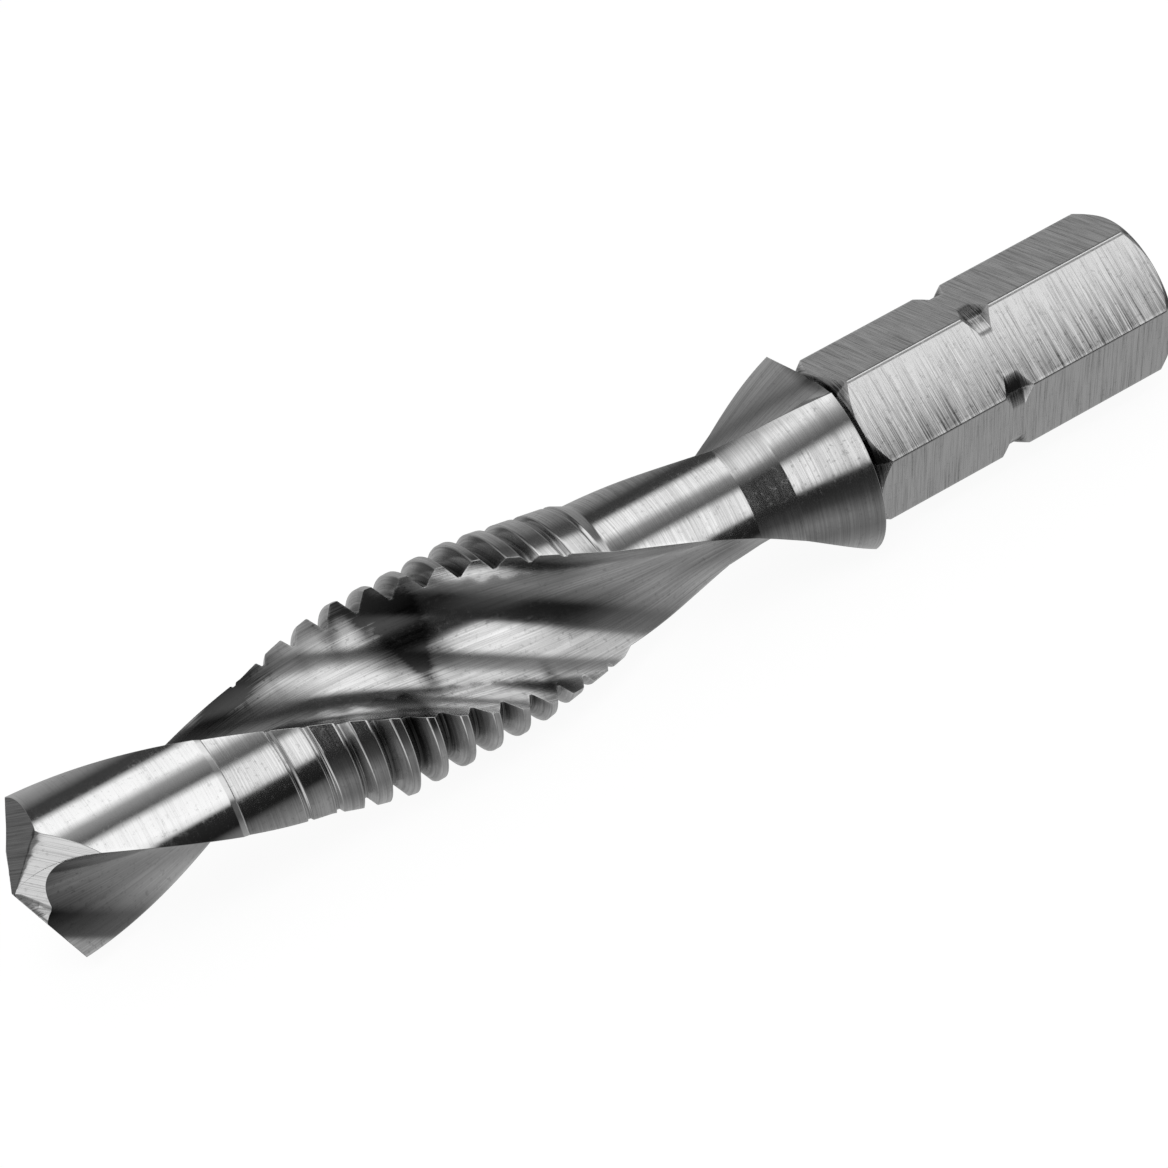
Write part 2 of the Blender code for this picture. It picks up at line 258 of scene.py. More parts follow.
def section(x_row, shear_row, s, grain):
    """The fluted section at each row: arrays of station, radius, turn, and what each point is.

    Columns run round the bit: flute, land, flute, land. On a land the station is sheared by a pitch a turn, so
    that rows follow the thread; on a flute it is sheared back. The edge is found by repeated substitution: the
    flute's circle leaves the land's radius at the angle given by the rule of cosines."""
    slope = s.pitch / FULL_TURN / (1 - s.pitch / s.flute_lead)
    flute_share = crowded(grain.flute_columns, grain.edge / (FLUTE_ARC_SHARE * s.flute_radius)).reshape(1, -1)
    land_share = crowded(grain.land_columns, grain.edge / LAND_WIDTH).reshape(1, -1)
    x0, shear = x_row.reshape(-1, 1), shear_row.reshape(-1, 1)
    ends = []
    for half in range(2):
        for side in (-1, 1):
            aside = np.full(x0.shape, side * FIRST_REACH)
            x = x0
            for _ in range(ROUNDS):
                # The lands' middles are a quarter turn from the flutes' middles.
                x = x0 + shear * slope * (aside - side * np.pi / 2)
                turn = flute_turn(x, s) + half * np.pi + aside
                radius = land_radius(x, turn, s)
                centre = flute_centre(x, s)
                angle = flute_reach(radius, centre, s)
                aside = side * polar_of_circle(angle, centre, s)[1]
            ends.append((x, aside, angle))
    found = []
    for half in range(2):
        (x1, _, angle1), (x2, aside2, angle2) = ends[2 * half], ends[2 * half + 1]
        x = x1 + (x2 - x1) * flute_share
        angle = -angle1 + (angle1 + angle2) * flute_share
        radius, aside = polar_of_circle(angle, flute_centre(x, s), s)
        turn = flute_turn(x, s) + half * np.pi + aside
        radius = np.minimum(radius, land_radius(x, turn, s) + HAIR)
        glow = painted_edge_highlight(flute_share, FLUTE_ARC_SHARE * s.flute_radius, grain)
        mapped = dict(u=s.flute_radius * angle, v=x * HELIX_STRETCH)
        found.append(dict(x=x, radius=radius, turn=turn, land=0 * x, edge=glow, **mapped))
        next_aside = ends[(2 * half + 2) % 4][1] + np.pi
        aside = aside2 + (next_aside - aside2) * land_share
        x = x0 + shear * slope * (aside - np.pi / 2)
        turn = flute_turn(x, s) + half * np.pi + aside
        radius = land_radius(x, turn, s)
        glow = painted_edge_highlight(land_share, LAND_WIDTH, grain)
        mapped = dict(u=x0 + 0 * x, v=radius * aside)
        found.append(dict(x=x, radius=radius, turn=turn, land=1 + 0 * x, edge=glow, **mapped))
    return {
        key: np.concatenate([np.broadcast_to(strip[key], strip["x"].shape) for strip in found], axis=1)
        for key in found[0]
    }


def painted_edge_highlight(share, width, grain):
    """A painted highlight: one at the ends of a strip, falling evenly to nothing over EDGE_REACH softened edges."""
    away = np.minimum(share, 1 - share) * width
    return np.clip(1 - away / (EDGE_REACH * grain.edge), 0, 1)


def place(x, radius, turn, s):
    """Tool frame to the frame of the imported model: along +X from the point, middle at zero, rolled as it lies."""
    angle = turn + s.lying_turn
    middle = (LOW + HIGH) / 2
    axis = np.array([middle[0] - s.overall / 2, middle[1], middle[2]])
    aside, up = radius * np.cos(angle), radius * np.sin(angle)
    return np.stack([x + axis[0], aside + axis[1], up + axis[2]], axis=-1)


def skin(name, grid, s, start, end):
    """A closed grid: each row joins its last column to its first, and a point on the axis closes each end. The
    grind map goes on a strip's own way, and the grid's other numbers become attributes of the points."""
    rows, columns = grid["x"].shape
    points = place(grid["x"], grid["radius"], grid["turn"], s).reshape(-1, 3)
    index = np.arange(rows * columns).reshape(rows, columns)
    right = np.roll(index, -1, axis=1)
    quads = np.stack([index[:-1], right[:-1], right[1:], index[1:]], axis=-1).reshape(-1, 4)
    caps = []
    for middle, row, flip in ((start, 0, True), (end, rows - 1, False)):
        tip = len(points)
        points = np.vstack([points, place(np.array([middle]), np.zeros(1), np.zeros(1), s)])
        fan = np.stack([np.full(columns, tip), index[row], right[row]], axis=-1)
        caps.append(fan[:, ::-1] if flip else fan)
    mesh = bpy.data.meshes.new(name)
    mesh.from_pydata(points.tolist(), [], quads.tolist() + np.vstack(caps).tolist())
    # A strip's own mapping holds on both of its sides: the next column's value is carried on past its end.
    u, v, land = grid["u"], grid["v"], grid["land"]
    next_u, next_v = np.roll(u, -1, axis=1), np.roll(v, -1, axis=1)
    change = np.roll(land, -1, axis=1) != land
    if "seam" in grid:
        change = change | grid["seam"]
    step_u, step_v = u - np.roll(u, 1, axis=1), v - np.roll(v, 1, axis=1)
    next_u, next_v = np.where(change, u + step_u, next_u), np.where(change, v + step_v, next_v)
    corners = np.stack(
        [
            np.stack([u[:-1], next_u[:-1], next_u[1:], u[1:]], -1),
            np.stack([v[:-1], next_v[:-1], next_v[1:], v[1:]], -1),
        ],
        -1,
    )
    fans = np.zeros((2 * columns * 3, 2))
    millimetres = np.vstack([corners.reshape(-1, 2), fans]) * 1000
    layer = mesh.uv_layers.new(name="grind")
    layer.data.foreach_set("uv", millimetres.astype(np.float32).ravel())
    for key in ("land", "edge", "deep", "tone"):
        if key in grid:
            values = np.concatenate([np.broadcast_to(grid[key], (rows, columns)).ravel(), np.zeros(2)])
            mesh.attributes.new(key, "FLOAT", "POINT").data.foreach_set("value", values.astype(np.float32))
    # Rows meet where a notch or a bevel has no length. Their points are joined, so that no face is without area.
    joined = bmesh.new()
    joined.from_mesh(mesh)
    bmesh.ops.remove_doubles(joined, verts=joined.verts, dist=JOIN_WITHIN)
    joined.to_mesh(mesh)
    joined.free()
    mesh.shade_smooth()
    mesh.update()
    old = bpy.data.objects.get(name)
    if old:
        bpy.data.objects.remove(old, do_unlink=True)
    piece = bpy.data.objects.new(name, mesh)
    bpy.context.scene.collection.objects.link(piece)
    return piece


def settle(piece, material):
    """Gives a piece its steel, hangs it on the root body, and hides the imported part."""
    piece.data.materials.append(material)
    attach(piece, "root")
    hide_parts(NODE)
    return piece


# The point -------------------------------------------------------------------------------------------

GASH_BLEND = 0.00011  # distance inside a gash over which its wall comes down
WALL_ROWS, WALL_CROWDING = 84, 1.3
FACE_ROWS, FACE_CROWDING = 111, 0.85
STEP_EDGE = 0.00003  # length of the softened corners of the drill's step
# Painted light on the drill: a slight highlight on its lands, and shade on the point's flanks and its gash's wall.
LAND_PAINTED_HIGHLIGHT = 0.05
FACE_PAINTED_SHADE = {"flank": -0.2, "wall": -0.5, "gash": 0.0}
LEAST_WALL, LEAST_GASH = 0.01, 0.9  # shares of the gash's depth from which its wall and its face are counted
# Painted shade on the drill's flutes: an even amount, more towards the point, and most just behind the lip.
DRILL_FLUTE_PAINTED_SHADE, DRILL_FLUTE_MORE, LIP_SHADE = -0.13, -0.17, -0.25
MORE_UNTIL, MORE_FADE = 0.0078, 0.003  # station where the extra painted shade ends, and the length over which it fades
LIP_SHADE_AT, LIP_SHADE_SPREAD = 1.2, 2.2  # millimetres along the bit
GASH_LINES = 0.5, 0.85  # cosine and sine of the wheel's lines on a gash, about


def lip_turn(s, number):
    """Turn of a cutting corner: where the flute's trailing side meets the drill's diameter, by the rule of
    cosines."""
    centre = s.web / 2 + s.flute_radius
    radius = s.drill_diameter / 2
    reach = np.arccos((radius**2 + centre**2 - s.flute_radius**2) / (2 * radius * centre))
    height = radius / np.tan(s.point_angle / 2)
    return flute_turn(height, s) + number * np.pi + reach


def point_height(radius, turn, s):
    """Station of the ground point over a place in the section, and how much of it is gash, from 0 to 1.

    A flank is a plane: the distance along its lip over the tangent of half the point angle, plus the distance
    behind it times the tangent of the clearance. The point is the higher of its two flanks. Ahead of each lip a
    gash lowers it further: a steeper plane that falls along its own direction from the chisel edge. Its wall is
    a straight blend from one plane to the other over GASH_BLEND, square to the line from the chisel edge."""
    y, z = radius * np.cos(turn), radius * np.sin(turn)
    rise = 1 / np.tan(s.point_angle / 2)
    flank = np.full_like(radius, -1.0)
    for number in range(2):
        t = lip_turn(s, number)
        plane = rise * (y * np.cos(t) + z * np.sin(t)) + np.tan(s.lip_clearance) * (z * np.cos(t) - y * np.sin(t))
        flank = np.maximum(flank, plane)
    height, facet = flank, np.zeros_like(radius)
    steep = np.tan(s.gash_slope)
    for number in range(2):
        t = lip_turn(s, number)
        fall = t + s.gash_swing
        ahead = np.array([np.sin(t), -np.cos(t)])
        dy, dz = y - ahead[0] * s.chisel_half, z - ahead[1] * s.chisel_half
        gash = steep * (dy * np.cos(fall) + dz * np.sin(fall))
        up = np.array([steep * np.cos(fall), steep * np.sin(fall), -1.0])
        along = np.array([np.cos(t), np.sin(t), steep * np.cos(s.gash_swing)])
        across = np.cross(up, along)
        across = across * np.sign(across[0] * ahead[0] + across[1] * ahead[1])
        inside = (across[0] * dy + across[1] * dz + across[2] * flank) / np.linalg.norm(across)
        share = np.clip(inside / GASH_BLEND, 0, 1)
        deeper = (share > 0) & (gash > height)
        height = np.where(deeper, height + (gash - height) * share, height)
        facet = np.where(deeper, share, facet)
    return height, facet


class BIT_OT_drill(bpy.types.Operator):
    """The drill section: two flutes, two lands and the split point ground on its end."""

    bl_idname = "bit.drill"
    bl_label = "Drill and point"

    def execute(self, context):
        s, grain = context.scene.bit_sizes, context.scene.bit_grain
        end = stations(s)["entry"]
        # The wall: for each column the station of the point's rim, found by repeated substitution.
        rim = section(np.zeros(2), np.zeros(2), s, grain)
        rim = {key: value[:1] for key, value in rim.items()}
        height = np.zeros_like(rim["x"])
        columns = height.shape[1]
        aside = rim["turn"] - flute_turn(0.0, s)
        for _ in range(POINT_ROUNDS):
            height = 0.5 * height + 0.5 * point_height(rim["radius"], aside + flute_turn(height, s), s)[0]
        share = np.linspace(0, 1, WALL_ROWS)[:-1] ** WALL_CROWDING
        x = height + (s.drill_length - STEP_EDGE - height) * share.reshape(-1, 1)
        last = [s.drill_length - STEP_EDGE, s.drill_length, s.drill_length + STEP_EDGE, end - STEP_EDGE, end]
        x = np.vstack([x, np.broadcast_to(np.array(last).reshape(-1, 1), (len(last), columns))])
        drop = blank_radius(x, s) / (s.drill_diameter / 2)
        on_land = rim["land"] > 0.5
        radius = rim["radius"] * np.where(on_land, drop, 1)
        turn = aside + flute_turn(x, s)
        wall = dict(x=x, radius=np.minimum(radius, blank_radius(x, s)), turn=turn)
        wall["u"] = np.where(on_land, x, rim["u"] + 0 * x)
        wall["v"] = np.where(on_land, rim["radius"] * aside, x * HELIX_STRETCH)
        # The end face: rings from the middle to the rim, each point at the station that the facets give it.
        rings = np.linspace(0, 1, FACE_ROWS)[1:-1] ** FACE_CROWDING
        inner = rim["radius"] * rings.reshape(-1, 1)
        level = np.zeros_like(inner)
        for _ in range(POINT_ROUNDS):
            level = 0.5 * level + 0.5 * point_height(inner, aside + flute_turn(level, s), s)[0]
        face_turn = aside + flute_turn(level, s)
        facet = point_height(inner, face_turn, s)[1]
        lip = lip_turn(s, 0)
        face = dict(x=level, radius=inner, turn=face_turn)
        y, z = inner * np.cos(face_turn - lip), inner * np.sin(face_turn - lip)
        cosine, sine = GASH_LINES
        face["u"] = np.where(facet > LEAST_GASH, cosine * y + sine * z, y)
        face["v"] = np.where(facet > LEAST_GASH, sine * y - cosine * z, z)
        grid = {key: np.vstack([face[key], wall[key]]) for key in ("x", "radius", "turn", "u", "v")}
        # The land attribute is 0 in a flute, 1 on a land, 2 on a flank of the point and 3 on its gash.
        grid["land"] = np.vstack([2 + facet, np.broadcast_to(rim["land"], x.shape)])
        grid["edge"] = np.vstack([0 * inner, np.broadcast_to(rim["edge"], x.shape)])
        grid["deep"] = 0 * grid["x"]
        # Painted shade by facet: the flanks a little darker, the gash's wall much darker, the gash itself as it is.
        face_painted_shade = np.where(facet > LEAST_WALL, FACE_PAINTED_SHADE["wall"], FACE_PAINTED_SHADE["flank"])
        face_painted_shade = np.where(facet > LEAST_GASH, FACE_PAINTED_SHADE["gash"], face_painted_shade)
        # The flute starts with dark painted shade behind the lip and comes up towards the tap section's level at its
        # end.
        near_lip = np.exp(-(((x * 1000 - LIP_SHADE_AT) / LIP_SHADE_SPREAD) ** 2))
        more = np.clip((MORE_UNTIL - x) / MORE_FADE, 0, 1)
        flute = DRILL_FLUTE_PAINTED_SHADE + DRILL_FLUTE_MORE * more + LIP_SHADE * near_lip
        grid["tone"] = np.vstack([face_painted_shade, np.where(on_land, LAND_PAINTED_HIGHLIGHT, flute)])
        piece = skin("drill_section", grid, s, start=0.0, end=end)
        settle(piece, steel_material(context.scene.bit_looks, "drill"))
        return {"FINISHED"}


# The thread, neck and collar --------------------------------------------------------------------------

# Painted reflections and shade on the first flute, as darker or brighter places: station in mm, share across from
# -1 to 1, the spread of each, and the amount.
FLUTE_PAINTED_REFLECTIONS = [
    (18.0, -0.45, 1.05, 0.62, -1.5),
    (16.3, -0.95, 1.6, 0.30, -0.8),
    (11.2, -0.95, 2.2, 0.5, -1.1),
    (12.2, 0.65, 1.7, 0.6, -0.6),
    (32.2, -0.10, 0.9, 0.6, -0.8),
    (30.0, 0.6, 2.2, 0.7, -0.22),
    (22.3, 0.85, 1.0, 0.2, -0.5),
    (24.2, 0.28, 0.9, 0.2, -0.3),
    (14.4, -0.35, 1.0, 0.35, 0.2),
]
TONE_EDGE_SHARE = 0.003
SEAM = 0.00003  # half the length of a softened corner of the turned blank
FINE_BEFORE, FINE_AFTER = 0.0019, 0.0008  # how far the thread's rows go before the taper and past the run-out
ENTRY_GAP, NECK_GAP, CONE_GAP, BACK_GAP = 0.00011, 0.00013, 0.00009, 0.00005  # between rows
SHEAR_FROM, SHEAR_RISE = 0.0004, 0.001  # where the rows start to lean with the thread, from the entry
SHEAR_PAST, SHEAR_FALL = 0.0022, 0.0014  # where they have stopped, from the end of the thread
GAP_PAINTED_SHADE, GAP_FROM, GAP_FADE = -0.45, 0.0001, 0.0003  # painted shade on the cone behind the collar


def painted_flute_reflections(grid, grain):
    """Painted reflections and shade on the first flute: a sum of smooth hills, each the exponential of minus the
    squared distances over its spreads."""
    columns = grain.flute_columns
    share = np.zeros(grid["x"].shape[1])
    share[:columns] = 2 * crowded(columns, TONE_EDGE_SHARE) - 1
    tone = np.zeros(grid["x"].shape)
    for station, across, long, wide, amount in FLUTE_PAINTED_REFLECTIONS:
        near = ((grid["x"] * 1000 - station) / long) ** 2 + ((share - across) / wide) ** 2
        tone = tone + amount * np.exp(-near)
    tone[:, columns:] = 0
    return tone


class BIT_OT_tap(bpy.types.Operator):
    """The tap section: thread, neck, shoulder and collar, with the flutes through them."""

    bl_idname = "bit.tap"
    bl_label = "Thread, neck and collar"

    def execute(self, context):
        s, grain = context.scene.bit_sizes, context.scene.bit_grain
        at = stations(s)
        step = s.pitch / grain.pitch_rows / (1 - s.pitch / s.flute_lead)
        fine_start, fine_end = at["taper"] - FINE_BEFORE, at["thread_end"] + FINE_AFTER
        fine = fine_start + step * np.arange(int((fine_end - fine_start) / step) + 1)

        def run(low, high, gap):
            inner = np.linspace(low + SEAM, high - SEAM, max(2, int((high - low) / gap)))
            return np.concatenate([[low], inner])

        runs = [
            run(at["entry"], fine_start, ENTRY_GAP),
            fine,
            run(fine[-1] + SEAM, at["neck_end"], NECK_GAP)[1:],
            run(at["neck_end"], at["shoulder_end"], CONE_GAP),
            run(at["shoulder_end"], at["collar_end"], CONE_GAP),
            run(at["collar_end"], at["undercut"], BACK_GAP),
            [at["undercut"], at["hexagon"]],
        ]
        x_row = np.concatenate(runs)
        # Rows are square to the axis, lean with the thread along it, and stand square again on the neck.
        rising = np.clip((x_row - at["entry"] - SHEAR_FROM) / SHEAR_RISE, 0, 1)
        shear = rising * np.clip((at["thread_end"] + SHEAR_PAST - x_row) / SHEAR_FALL, 0, 1)
        grid = section(x_row, shear * shear * (3 - 2 * shear), s, grain)
        # Painted shade in the thread's roots: the groove's depth, on the lands only.
        depth = blank_radius(grid["x"], s) - groove_radius(grid["x"], grid["turn"], s)
        threaded = np.clip(depth, 0, None) / s.thread_depth
        grid["deep"] = np.where(grid["land"] > 0.5, np.clip(threaded, 0, 1), 0)
        # Painted shade on the cone behind the collar, and painted reflections and shade on the first flute.
        behind = np.clip((grid["x"] - at["collar_end"] - GAP_FROM) / GAP_FADE, 0, 1)
        grid["tone"] = painted_flute_reflections(grid, grain) + behind * GAP_PAINTED_SHADE
        piece = skin("tap_section", grid, s, start=at["entry"], end=at["hexagon"])
        settle(piece, steel_material(context.scene.bit_looks, "tap"))
        return {"FINISHED"}


# The shank -------------------------------------------------------------------------------------------

SIDES = 6
CORNER_SOFT = 0.00004  # how far the first and last columns of a flat stay from its corners
FLAT_COLUMNS, BITE_COLUMNS = 9, 12  # on each side of a notch's reach, and over it
LONG_ROWS, NOTCH_ROWS, FLOOR_ROWS, FACE_BAND_ROWS = 60, 9, 5, 8
FRONT_ROWS, BEVEL_ROWS, BACK_ROWS = 3, 6, 14
FLOOR_FIRST, SLOPE_FIRST = 0.2, 0.12  # shares at which a band starts, past the last row of the one before it
NECK_INSIDE = 0.0001  # how far the front face goes in under the undercut's radius
FACE_HOLE = 0.0003  # radius of the last ring of the end face
FLAT_PAINTED_LIGHT = np.array([0.16, -0.02, -0.02, -0.02, 0.02, -0.04])  # painted light and shade of each flat, in turn from the hexagon's first corner
TILTED_FLAT, TILTED_PAINTED_REFLECTION = 5, -0.42  # the flat whose painted reflection goes from bright to dark across, and by how much
CORNER_PAINTED_HIGHLIGHT = 0.00016  # width of the painted highlight along a corner
NOTCH_SHADE = 0.00025  # depth at which a recess gets its full painted shade
EXIT_SHARE = 0.6  # of the flute's wheel: how far the flutes are cut past their full depth
SHARP_ANGLE = np.radians(35)


class BIT_OT_shank(bpy.types.Operator):
    """The hexagon shank, with its chamfered end, bevelled front and the notches in its corners."""

    bl_idname = "bit.shank"
    bl_label = "Hexagon shank"

    def execute(self, context):
        s = context.scene.bit_sizes
        start, end = stations(s)["hexagon"], s.overall
        flat = s.across_flats / 2
        side = flat / np.sqrt(3)
        soft = CORNER_SOFT
        floor_radius = s.notch_diameter / 2
        # The notch leaves the flat where the flat's own radius is the notch's.
        bite = np.sqrt(floor_radius**2 - flat**2)
        outer = np.linspace(-side + soft, -bite, FLAT_COLUMNS)
        one = np.concatenate([outer, np.linspace(-bite, bite, BITE_COLUMNS)[1:-1], -outer[::-1]])
        number = np.repeat(np.arange(SIDES), len(one))
        across = np.tile(one, SIDES)
        middle_turn = s.hex_turn + (number + 0.5) * FULL_TURN / SIDES
        # Radius of each column on its flat, by the rule of the right triangle.
        full = np.hypot(flat, across)
        turn = middle_turn + np.arctan2(across, flat)
        # A notch is a groove turned round the bit: its floor, and a straight slope up to the corner each way.
        corner = 2 * side
        notch_slope = (corner - floor_radius) / ((s.notch_width - s.notch_floor) / 2)
        notch = end - s.notch_from_end
        notch_half = s.notch_floor / 2 + np.maximum(0, full - floor_radius) / notch_slope
        # Both ends are bevelled at 45 degrees: a column is cut back by what it stands over the end's circle.
        face_radius = flat - s.hex_chamfer / 4
        front_cut = start + (full - flat)
        back_cut = end - (full - face_radius)
        rows = []

        def band(x0, r0, x1, r1, count, first=0.0):
            for share in np.linspace(first, 1, count):
                rows.append((x0 + (x1 - x0) * share, r0 + (r1 - r0) * share))

        def even(value):
            return np.full_like(full, value)

        dip = np.minimum(full, floor_radius)
        floor_start, floor_end = even(notch - s.notch_floor / 2), even(notch + s.notch_floor / 2)
        bevel_end = front_cut - soft / 2 * (full > flat + soft)
        band(even(start), even(s.hex_neck / 2 - NECK_INSIDE), even(start), even(flat) - soft, FRONT_ROWS)
        band(even(start), even(flat), bevel_end, np.maximum(full - soft / 2, flat), BEVEL_ROWS)
        band(front_cut, full, notch - notch_half - soft, full, LONG_ROWS)
        band(notch - notch_half, full, floor_start, dip, NOTCH_ROWS)
        band(floor_start, dip, floor_end, dip, FLOOR_ROWS, FLOOR_FIRST)
        band(floor_end, dip, notch + notch_half, full, NOTCH_ROWS, SLOPE_FIRST)
        band(notch + notch_half + soft, full, back_cut - soft, full, LONG_ROWS)
        band(back_cut, full, even(end), even(face_radius), BACK_ROWS)
        band(even(end), even(face_radius) - soft, even(end), even(FACE_HOLE), FACE_BAND_ROWS)
        x, radius = (np.array(values) for values in zip(*rows))
        # The flutes' run-outs just nick the front corners.
        centre = flute_centre(x, s)
        for half in range(2):
            aside = turn - flute_turn(x, s) - half * np.pi
            sine = centre * np.sin(aside)
            inside = (np.abs(sine) < s.flute_radius) & (np.cos(aside) > 0)
            inside = inside & (x < s.flute_depth_end + EXIT_SHARE * s.flute_wheel)
            near = centre * np.cos(aside) - np.sqrt(np.maximum(s.flute_radius**2 - sine**2, 0))
            radius = np.where(inside, np.minimum(radius, near), radius)
        grid = dict(x=x, radius=radius, turn=np.broadcast_to(turn, x.shape), u=x, v=np.broadcast_to(across, x.shape))
        grid["seam"] = np.broadcast_to(np.roll(number, -1) != number, x.shape)
        grid["land"] = np.broadcast_to(number, x.shape).astype(float)
        # A painted highlight along each corner of the hexagon.
        grid["edge"] = np.broadcast_to(np.clip(1 - (side - np.abs(across)) / CORNER_PAINTED_HIGHLIGHT, 0, 1), x.shape)
        # Painted shade by how far the surface lies inside its flat: notches, bevels, end faces and the flutes' nicks.
        grid["deep"] = np.clip((full - radius) / NOTCH_SHADE, 0, 1)
        # Painted light on the flats: each flat at its own level, and one going from bright to dark across.
        tone = FLAT_PAINTED_LIGHT[number] + (number == TILTED_FLAT) * TILTED_PAINTED_REFLECTION * across / side
        grid["tone"] = np.broadcast_to(tone, x.shape)
        piece = skin("hexagon_shank", grid, s, start=start, end=end)
        piece.data.set_sharp_from_angle(angle=SHARP_ANGLE)
        settle(piece, steel_material(context.scene.bit_looks, "shank"))
        return {"FINISHED"}


# Steel -----------------------------------------------------------------------------------------------


class Sum:
    """A socket that can be used in Python sums: each operator adds a Math node."""

    def __init__(self, maker, socket):
        self.maker, self.socket = maker, socket

    def _math(self, operation, a, b):
        return self.maker.node("ShaderNodeMath", {"operation": operation}, {0: a, 1: b})

    def __add__(self, other):
        return self._math("ADD", self, other)

    def __sub__(self, other):
        return self._math("SUBTRACT", self, other)

    def __rsub__(self, other):
        return self._math("SUBTRACT", other, self)

    def __mul__(self, other):
        return self._math("MULTIPLY", self, other)

    def __gt__(self, other):
        return self._math("GREATER_THAN", self, other)

    __radd__, __rmul__ = __add__, __mul__


class Maker:
    """Adds nodes to one tree, which it empties first."""

    def __init__(self, tree):
        self.tree = tree
        tree.nodes.clear()

    def node(self, kind, settings=None, inputs=None, output=0):
        """Adds a node: its settings first, then the values or links of its sockets. Returns one output."""
        made = self.tree.nodes.new(kind)
        for key, value in (settings or {}).items():
            if key == "stops":
                ramp = made.color_ramp
                while len(ramp.elements) < len(value):
                    ramp.elements.new(0.5)
                for element, (position, level) in zip(ramp.elements, value):
                    element.position, element.color = position, (level, level, level, 1)
            else:
                setattr(made, key, value)
        for key, value in (inputs or {}).items():
            if isinstance(value, Sum):
                self.tree.links.new(value.socket, made.inputs[key])
            elif value is not None:
                made.inputs[key].default_value = value
        return Sum(self, made.outputs[output]) if output is not None else made

    def ramp(self, value, stops):
        return self.node("ShaderNodeValToRGB", {"stops": stops}, {"Fac": value})

    def attribute(self, name):
        return self.node("ShaderNodeAttribute", {"attribute_name": name}, output="Fac")

    def mixed(self, factor, a, b):
        """A colour mixed from two, by a factor."""
        return self.node("ShaderNodeMix", {"data_type": "RGBA"}, {"Factor": factor, 6: a, 7: b}, output=2)


# For each part, how much the grinding lines lighten the steel, its level without them, its roughness without
# them, the strength of their relief, and how fine they are.
FINISHES = {
    "shank": (0.7, 0.36, 0.20, 0.45, 1.9),
    "drill": (0.16, 0.8, 0.07, 0.05, 1.0),
    "tap": (0.34, 0.58, 0.10, 0.12, 1.0),
}
# Grinding lines: how many per mm across them and along them, and the noise's detail.
FINE_LINES = (16.0, 0.22, 5.0)
COARSE_LINES = (3.4, 0.10, 4.0)
LINES_ROUGHNESS = 0.62
RELIEF = 0.00001  # depth of the relief at full strength
END_FACE_LINES = 0.5  # how much more they show on the point's ground end
# Darkening by random marks, painted shade by the deep attribute, a painted highlight by the edge attribute,
# lightening by random clouds.
MARKS_SHADE, DEEP_SHADE, EDGE_PAINTED_HIGHLIGHT, CLOUD_SHINE = 0.16, 0.74, 0.2, 0.08


def steel_material(looks, part):
    """Ground steel. Grinding lines run along the second axis of the grind map: along the helix in the flutes,
    round the bit on lands, across the flats of the hexagon. Marks and clouds are noise in the piece's own frame.
    The colour goes from dark to clean steel by a level; the mesh's attributes paint shade and highlights into it."""
    material = bpy.data.materials.new(f"{part}_steel")
    material.use_nodes = True
    m = Maker(material.node_tree)
    contrast, base, shine, relief, scale = FINISHES[part]
    grind = m.node("ShaderNodeUVMap", {"uv_map": "grind"})
    where = m.node("ShaderNodeTexCoord", output="Object")

    def noise(vector, size, detail, roughness, settings=None):
        values = {"Vector": vector, "Scale": size, "Detail": detail, "Roughness": roughness}
        return m.node("ShaderNodeTexNoise", settings, values)

    def lines(across, along, detail):
        stretched = m.node("ShaderNodeMapping", None, {"Vector": grind, "Scale": (across * scale, along * scale, 1)})
        return noise(stretched, 1.0, detail, LINES_ROUGHNESS, {"noise_dimensions": "2D"})

    fine, coarse = lines(*FINE_LINES), lines(*COARSE_LINES)
    speck = noise(where, 5200.0, 4.0, 0.65)
    stain = noise(where, 420.0, 5.0, 0.6)
    deep, edge, tone = m.attribute("deep"), m.attribute("edge"), m.attribute("tone")
    grain = m.ramp(fine * 0.6 + coarse * 0.4, [(0.36, 0.0), (0.62, 1.0)])
    marks = m.ramp(speck, [(0.30, 1.0), (0.44, 0.0)])
    cloud = m.ramp(stain, [(0.35, 0.0), (0.7, 1.0)])
    dark, light = (*looks.dark_steel, 1), (*looks.steel, 1)
    level = contrast * grain + base
    if part == "drill":
        # The ground end face, where the land attribute is 2 or 3, shows its wheel's lines more than the rest.
        level = level + (m.attribute("land") > 1.5) * (grain - 0.5) * END_FACE_LINES
    # Painted shade in recesses by deep, a painted highlight along edges by edge, and painted light and reflections
    # over faces.
    level = level - marks * MARKS_SHADE - deep * DEEP_SHADE + edge * EDGE_PAINTED_HIGHLIGHT + cloud * CLOUD_SHINE + tone
    colour = m.mixed(level, dark, light)
    rough = (1 - grain) * 0.08 + marks * 0.1 + deep * 0.12 + shine
    height = fine * 0.7 + coarse * 0.3
    bump = m.node("ShaderNodeBump", None, {"Strength": relief, "Distance": RELIEF, "Height": height})
    steel = {"Base Color": colour, "Metallic": 1.0, "Roughness": rough, "Normal": bump}
    shader = m.node("ShaderNodeBsdfPrincipled", None, steel)
    m.node("ShaderNodeOutputMaterial", None, {"Surface": shader}, output=None)
    return material


# Studio ----------------------------------------------------------------------------------------------

